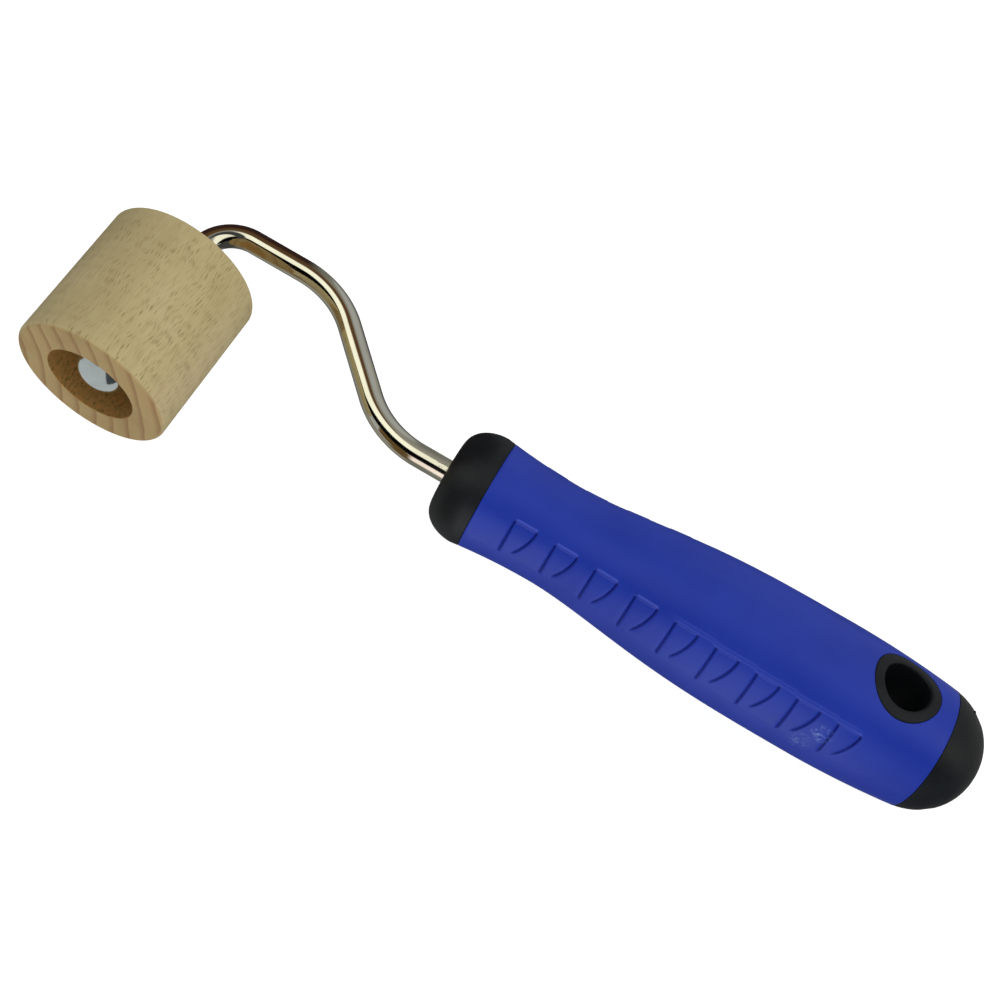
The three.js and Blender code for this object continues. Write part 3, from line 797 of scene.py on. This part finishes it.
def beech():
    """Beech as a solid: growth rings about a pith far off to one side, which show as lines on the end
    grain, and on the side short ray dashes, fine hairs that thicken towards the tail, and fibres. The
    burnished recess is told only by its distance from the axle, so the middle of the back face has its
    colour too."""
    material = finish("beech", IOR=1.4, Specular_IOR_Level=0.35)
    tree = material.node_tree
    source = add(tree, "TexCoord")
    centre = tuple((-roller_middle).tolist())
    place = add(tree, "Mapping", {"Vector": source.outputs["Object"], "Location": centre}).outputs[0]
    place = add(tree, "Mapping", {"Vector": place, "Rotation": (0, GRAIN_TURN, 0)}).outputs[0]
    warp = noise(tree, placed(tree, place, scale=(45, 12, 45)), 1.0, 2.0)
    across = add(tree, "VectorMath", {0: place, 1: (PITH_AWAY, 0, 0)}, operation="ADD").outputs[0]
    across = add(tree, "VectorMath", {0: across, 1: (1, 0, 1)}, operation="MULTIPLY").outputs[0]
    away = add(tree, "VectorMath", {0: across}, operation="LENGTH").outputs["Value"]
    away = sums(tree, "ADD", away, sums(tree, "MULTIPLY", warp, 3.4 * MM))
    year = sums(tree, "FRACT", sums(tree, "DIVIDE", away, RING_SPACING))
    ring = ramp(tree, year, (0.0, 0.0), (0.6, 0.15), (0.9, 1.0), (0.95, 0.9), (1.0, 0.0))
    facing = add(tree, "SeparateXYZ", {0: source.outputs["Normal"]}).outputs[1]
    end_grain = ramp(tree, sums(tree, "ABSOLUTE", facing), (0.55, 0.0), (0.95, 1.0))

    parts = add(tree, "SeparateXYZ", {0: place})
    round_axle = sums(tree, "ARCTAN2", parts.outputs[0], parts.outputs[2])
    girth = sums(tree, "MULTIPLY", round_axle, (roller_high[0] - roller_low[0]) / 2)
    drift = noise(tree, placed(tree, place, scale=(60, 80, 60)), 1.0, 2.0)
    girth = sums(tree, "ADD", girth, sums(tree, "MULTIPLY", drift, 3 * MM))
    unrolled = add(tree, "CombineXYZ", {0: girth, 1: parts.outputs[1]}).outputs[0]
    shown = noise(tree, placed(tree, place, scale=(240, 160, 240)), 1.0, 2.0)
    dash = dashes(tree, unrolled, 2700, 330, 0.45)
    dash = sums(tree, "MULTIPLY", dash, ramp(tree, shown, (0.36, 0.25), (0.6, 1.0)))
    hair = dashes(tree, unrolled, 3300, 150, 0.36)
    towards_tail = ramp(tree, sums(tree, "DIVIDE", parts.outputs[0], 20 * MM), (0.1, 0.35), (0.8, 1.0))
    hair = sums(tree, "MULTIPLY", hair, towards_tail)
    fibre = noise(tree, placed(tree, place, scale=(4200, 200, 4200)), 1.0, 3.0)
    pores = noise(tree, placed(tree, place, scale=(7000, 900, 7000)), 1.0, 2.0)
    patchy = noise(tree, placed(tree, place, scale=(70, 45, 70)), 1.0, 3.0)

    side = ramp(tree, patchy, (0.3, colour(157, 144, 104)), (0.5, colour(164, 151, 111)),
                (0.72, colour(168, 152, 116)))
    side = mixed(tree, ramp(tree, fibre, (0.35, 0.0), (0.75, 0.3)), side, colour(140, 124, 82))
    side = mixed(tree, sums(tree, "MULTIPLY", ring, 0.1), side, colour(134, 110, 70))
    side = mixed(tree, sums(tree, "MULTIPLY", hair, 0.45), side, colour(112, 90, 52))
    side = mixed(tree, sums(tree, "MULTIPLY", dash, 0.62), side, colour(100, 78, 42))
    end = ramp(tree, patchy, (0.3, colour(136, 116, 74)), (0.5, colour(146, 127, 84)),
               (0.7, colour(150, 126, 82)))
    end = mixed(tree, ramp(tree, pores, (0.4, 0.0), (0.7, 0.3)), end, colour(128, 98, 64))
    end = mixed(tree, sums(tree, "MULTIPLY", ring, 0.6), end, colour(110, 72, 40))
    wood = mixed(tree, end_grain, side, end)

    radial = add(tree, "VectorMath", {0: place, 1: (1, 0, 1)}, operation="MULTIPLY").outputs[0]
    radial = add(tree, "VectorMath", {0: radial}, operation="LENGTH").outputs["Value"]
    in_recess = sums(tree, "LESS_THAN", radial, RECESS_RADIUS + 0.12 * MM)
    specks = noise(tree, placed(tree, place, scale=(1500, 900, 1500)), 1.0, 4.0, 0.75)
    burnt = ramp(tree, specks, (0.3, colour(90, 67, 30)), (0.5, colour(140, 109, 56)),
                 (0.68, colour(164, 108, 64)))
    wire(material, "Base Color", mixed(tree, in_recess, wood, burnt))
    wire(material, "Roughness", ramp(tree, fibre, (0.3, 0.52), (0.8, 0.66)))
    height = sums(tree, "SUBTRACT", sums(tree, "MULTIPLY", fibre, 0.5), dash)
    bumped(material, height, 0.06 * MM, 0.6)
    return material


roller = beech_roller()
roller.data.materials.append(beech())
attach(roller, "roller")
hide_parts("roller")


# ---------------------------------------------------------------------------------------------------
# Front bush: the same nylon bush, pressed into the bore from the recess, with its flange on the floor
# of the recess, where the thrust washer runs against it.

front_bush = flanged_bush("front_bearing", "front_bush", -1)
front_bush.data.materials.append(natural_nylon)
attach(front_bush, "roller")
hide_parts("front_bush")


# ---------------------------------------------------------------------------------------------------
# Thrust washer: a second zinc plated washer, between the front bush's flange and the push nut. It
# keeps the nut's teeth off the nylon.

thrust_washer = washer("thrust_plate", "thrust_washer")
thrust_washer.data.materials.append(zinc)
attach(thrust_washer, "handle")
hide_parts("thrust_washer")


# ---------------------------------------------------------------------------------------------------
# Push nut: a spring steel ring hammered onto the axle's end. Its six teeth lean outwards a little and
# bite, so that it goes on but doesn't come off.

NUT_TEETH = 6
NUT_SLOT_DEPTH = 1.4 * MM
NUT_TOOTH_SHARE = 0.75


def push_nut_ring(columns=288, rows=10):
    """A toothed ring: its inner radius steps between tooth and slot round the circle, and the plate's
    height falls off as a cone over the teeth."""
    low, high = (np.array(corner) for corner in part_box("push_nut"))
    outer = (high[0] - low[0]) / 2
    bite = ROD_RADIUS + PLATE_GAP
    slot = bite + NUT_SLOT_DEPTH
    angle = np.linspace(0, 2 * np.pi, columns + 1)
    share = (angle * NUT_TEETH / (2 * np.pi)) % 1
    tooth = smooth(share, 0, 0.03) * (1 - smooth(share, NUT_TOOTH_SHARE - 0.03, NUT_TOOTH_SHARE))
    inner = slot + (bite - slot) * tooth
    radius = inner + (outer - inner) * np.linspace(0, 1, rows)[:, None]
    lean = 0.2 * np.clip(slot - radius, 0, None)
    faces = []
    for height in (low[1] + 0.28 * MM, high[1]):
        x, z = axle_x + radius * np.cos(angle), axle_z + radius * np.sin(angle)
        faces.append(np.stack([x, height - lean, z], axis=-1))
    below, above = faces
    grid = np.concatenate([below, above[::-1], below[:1]])
    return shell("bite_ring", grid, crease=40)


push_nut = push_nut_ring()
push_nut.data.materials.append(zinc)
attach(push_nut, "handle")
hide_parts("push_nut")


# ---------------------------------------------------------------------------------------------------
# Dome cap: thin steel sheet pressed to a dome and plated bright, with a small rolled rim. It closes
# over the push nut and hides the end of the axle, deep in the recess.

CAP_SKIRT = 0.8 * MM
CAP_WALL = 0.5 * MM
CAP_RIM = 0.15 * MM


def pressed_dome():
    """Outline of the cap: an elliptical dome, a short skirt with a rolled rim, and the same inside."""
    low, high = (np.array(corner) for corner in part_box("dome_cap"))
    outer = (high[0] - low[0]) / 2 - CAP_RIM
    shoulder = high[1] - CAP_SKIRT
    rise = shoulder - low[1]
    turn = np.linspace(0, np.pi / 2, 28)
    outside = outer * np.sin(turn) + 1j * (shoulder - rise * np.cos(turn))
    inside = (outer - CAP_WALL) * np.sin(turn) + 1j * (shoulder - (rise - CAP_WALL) * np.cos(turn))
    rim = rounded([
        (outer, shoulder, 0),
        (outer, high[1] - CAP_RIM, 0.15 * MM),
        (outer + CAP_RIM, high[1] - CAP_RIM, 0.12 * MM),
        (outer + CAP_RIM, high[1], 0.12 * MM),
        (outer - CAP_WALL, high[1], 0),
    ], steps=5)
    outline = np.concatenate([outside[:-1], rim, inside[::-1]])
    return turned("pressed_dome", outline, columns=128, crease=50)


def bright_steel():
    """Bright plated sheet: smooth, faintly clouded, with fine press marks."""
    material = finish("bright_steel", Metallic=1.0)
    tree = material.node_tree
    place = add(tree, "TexCoord").outputs["Object"]
    cloud = noise(tree, place, 260.0, 3.0)
    tint = ramp(tree, cloud, (0.3, colour(206, 212, 210)), (0.7, colour(226, 230, 228)))
    wire(material, "Base Color", tint)
    wire(material, "Roughness", ramp(tree, cloud, (0.3, 0.09), (0.7, 0.14)))
    bumped(material, noise(tree, place, 1900.0, 2.0), 0.01 * MM, 0.4)
    return material


dome_cap = pressed_dome()
dome_cap.data.materials.append(bright_steel())
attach(dome_cap, "handle")
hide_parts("dome_cap")


# ---------------------------------------------------------------------------------------------------
# Studio: a plain pale floor that the tool lies on, three large soft boxes over, behind and before it,
# and a card and a banded room that only what shines picks up.

FLOOR_HALF = 3.0
floor_edges = (-FLOOR_HALF, FLOOR_HALF)
floor = shell("studio_floor", np.array([[(x, y, 0.0) for x in floor_edges] for y in floor_edges]))
paper = finish("paper", Roughness=0.9, Emission_Strength=0.93, Emission_Color=(1, 1, 1, 1))
paper_tree = paper.node_tree
paper_place = add(paper_tree, "TexCoord").outputs["Object"]
paper_cloud = noise(paper_tree, paper_place, 4.0)
wire(paper, "Base Color", ramp(paper_tree, paper_cloud, (0.3, 0.18), (0.7, 0.22)))
floor.data.materials.append(paper)
floor.visible_glossy = False


def soft_box(name, spot, size, power, tint=(1, 1, 1)):
    """A square soft light at a spot measured from the tool's middle, turned towards it."""
    lamp = bpy.data.lights.new(name, "AREA")
    lamp.shape = "SQUARE"
    lamp.size = size
    lamp.energy = power
    lamp.color = tint
    box = bpy.data.objects.new(name, lamp)
    bpy.context.scene.collection.objects.link(box)
    box.location = spot
    box.rotation_euler = Vector(spot).to_track_quat("Z", "Y").to_euler()
    box.visible_glossy = False
    box.visible_camera = False
    return box


soft_box("over", (0.4, 0.2, 1.15), 0.9, 8.6, (1.0, 0.99, 0.96))
soft_box("back", (0.2, 1.1, 0.75), 0.8, 4.0)
soft_box("front", (0.15, -1.2, 0.3), 0.8, 7.5)


def reflector_card():
    """A pale card on the floor before the roller's open end, turned up at its far edge, and flat only
    past its corner towards the tail. Only what shines sees it, which lights the cap in its recess."""
    def strip(x, y, z):
        """Columns at x from the axle, and rows at y from the free end and a height of z, in mm."""
        across = axle_x + np.array(x)[:, None] * MM
        out = roller_low[1] + np.array(y) * MM
        return np.stack(np.broadcast_arrays(across, out, np.array(z) * MM), axis=-1)

    turned_up = strip((-70, 0, 14), (-2, -15, -25, -25), (0.5, 0.5, 0.5, 41))
    flat = strip((14, 45), (-2, -25), (0.5, 0.5))
    card = shell("reflector_card", turned_up, flat)
    card.data.materials.append(finish("card", Base_Color=(0, 0, 0, 1), Emission_Strength=0.5,
                                      Emission_Color=colour(244, 250, 252)))
    card.visible_camera = card.visible_diffuse = card.visible_shadow = False


reflector_card()


def studio_room():
    """The world: white for the eye and an even soft white for lighting. What shines sees a room in bands
    round the handle's line, each set by its turn in degrees: 0 is overhead, and 90 is before the roller's
    open end. Towards the roller it is a brown room with a cream band overhead and a black gap beside it,
    square on it has a pale front, towards the tail a front and a back white band, and past the tail the
    overhead band again."""
    world = bpy.data.worlds.new("studio_room")
    bpy.context.scene.world = world
    world.use_nodes = True
    world.cycles.sampling_method = "NONE"
    tree = world.node_tree
    brightest = 2.0
    parts = add(tree, "SeparateXYZ", {0: add(tree, "TexCoord").outputs["Generated"]})
    sideways = sums(tree, "MULTIPLY_ADD", parts.outputs[0], 0.5, 0.5)
    forwards = sums(tree, "MULTIPLY", parts.outputs[1], -1.0)
    turn = sums(tree, "ARCTAN2", forwards, parts.outputs[2])
    turn = sums(tree, "MULTIPLY_ADD", turn, 0.5 / np.pi, 0.5)

    def stop(degrees, shade, strength=1.0):
        return degrees / 360 + 0.5, tuple(part * strength / brightest for part in shade[:3]) + (1.0,)

    cream, black, white = colour(255, 254, 240), colour(6, 6, 8), colour(250, 252, 255)
    purple, brown, olive = colour(56, 38, 36), colour(100, 72, 46), colour(106, 84, 50)
    dim, grey, pale = colour(70, 72, 74), colour(128, 128, 124), colour(170, 168, 160)
    rosy = colour(255, 240, 236)
    by_roller = ramp(tree, turn, stop(-180, grey), stop(-130, purple), stop(-60, purple), stop(-40, brown),
                     stop(-12, brown), stop(-6, cream, 1.4), stop(28, cream, 1.4), stop(31, black),
                     stop(64, black), stop(70, olive), stop(125, olive), stop(142, pale), stop(180, grey))
    by_shank = ramp(tree, turn, stop(-180, grey), stop(-70, grey), stop(-14, pale), stop(-8, cream, 1.3),
                    stop(28, cream, 1.3), stop(31, black), stop(66, black), stop(72, rosy, 1.3),
                    stop(104, rosy, 1.3), stop(112, grey), stop(180, grey))
    by_grip = ramp(tree, turn, stop(-180, dim), stop(-120, dim), stop(-80, white, 0.5),
                   stop(-40, white, 0.5), stop(-18, dim), stop(62, dim), stop(76, white, 2.0),
                   stop(122, white, 2.0), stop(140, grey), stop(180, dim))
    by_end = ramp(tree, turn, stop(-180, grey), stop(-70, pale), stop(-14, pale), stop(-8, cream, 1.3),
                  stop(24, cream, 1.3), stop(32, black), stop(64, black), stop(80, dim), stop(180, dim))
    seen = mixed(tree, ramp(tree, sideways, (0.395, 0.0), (0.435, 1.0)), by_roller, by_shank)
    seen = mixed(tree, ramp(tree, sideways, (0.465, 0.0), (0.485, 1.0)), seen, by_grip)
    seen = mixed(tree, ramp(tree, sideways, (0.63, 0.0), (0.66, 1.0)), seen, by_end)
    path = add(tree, "LightPath")
    shiny = add(tree, "Background", {"Color": seen, "Strength": brightest}).outputs[0]
    soft = add(tree, "Background", {"Color": (1, 1, 1, 1), "Strength": 0.55}).outputs[0]
    plain = add(tree, "Background", {"Color": (1, 1, 1, 1), "Strength": 1.0}).outputs[0]
    lit = add(tree, "MixShader", {0: path.outputs["Is Glossy Ray"], 1: soft, 2: shiny}).outputs[0]
    shown = add(tree, "MixShader", {0: path.outputs["Is Camera Ray"], 1: lit, 2: plain}).outputs[0]
    output = tree.nodes["World Output"]
    tree.links.new(shown, output.inputs["Surface"])


studio_room()


# ---------------------------------------------------------------------------------------------------
# Camera: it looks down on the tool from the roller's open end, a little to the left, tipped over so
# that the handle runs towards the lower right.

CAMERA_FROM_ROLLER = np.array([107.6, -160.9, 317.7]) * MM
CAMERA_RIGHT = Vector((0.8652, 0.4551, 0.2105))
CAMERA_BACK = Vector((0.0321, -0.4693, 0.8825))
CAMERA_LENS = 53.93

back = CAMERA_BACK.normalized()
right = (CAMERA_RIGHT - back * CAMERA_RIGHT.dot(back)).normalized()
lens = bpy.data.cameras.new("camera")
lens.lens = CAMERA_LENS
lens.clip_start = 10 * MM
camera = bpy.data.objects.new("camera", lens)
bpy.context.scene.collection.objects.link(camera)
turning = Matrix((right, back.cross(right), back)).transposed()
camera.matrix_world = Matrix.Translation(Vector(roller_middle + CAMERA_FROM_ROLLER)) @ turning.to_4x4()
bpy.context.scene.camera = camera
bpy.context.scene.view_settings.view_transform = "Standard"
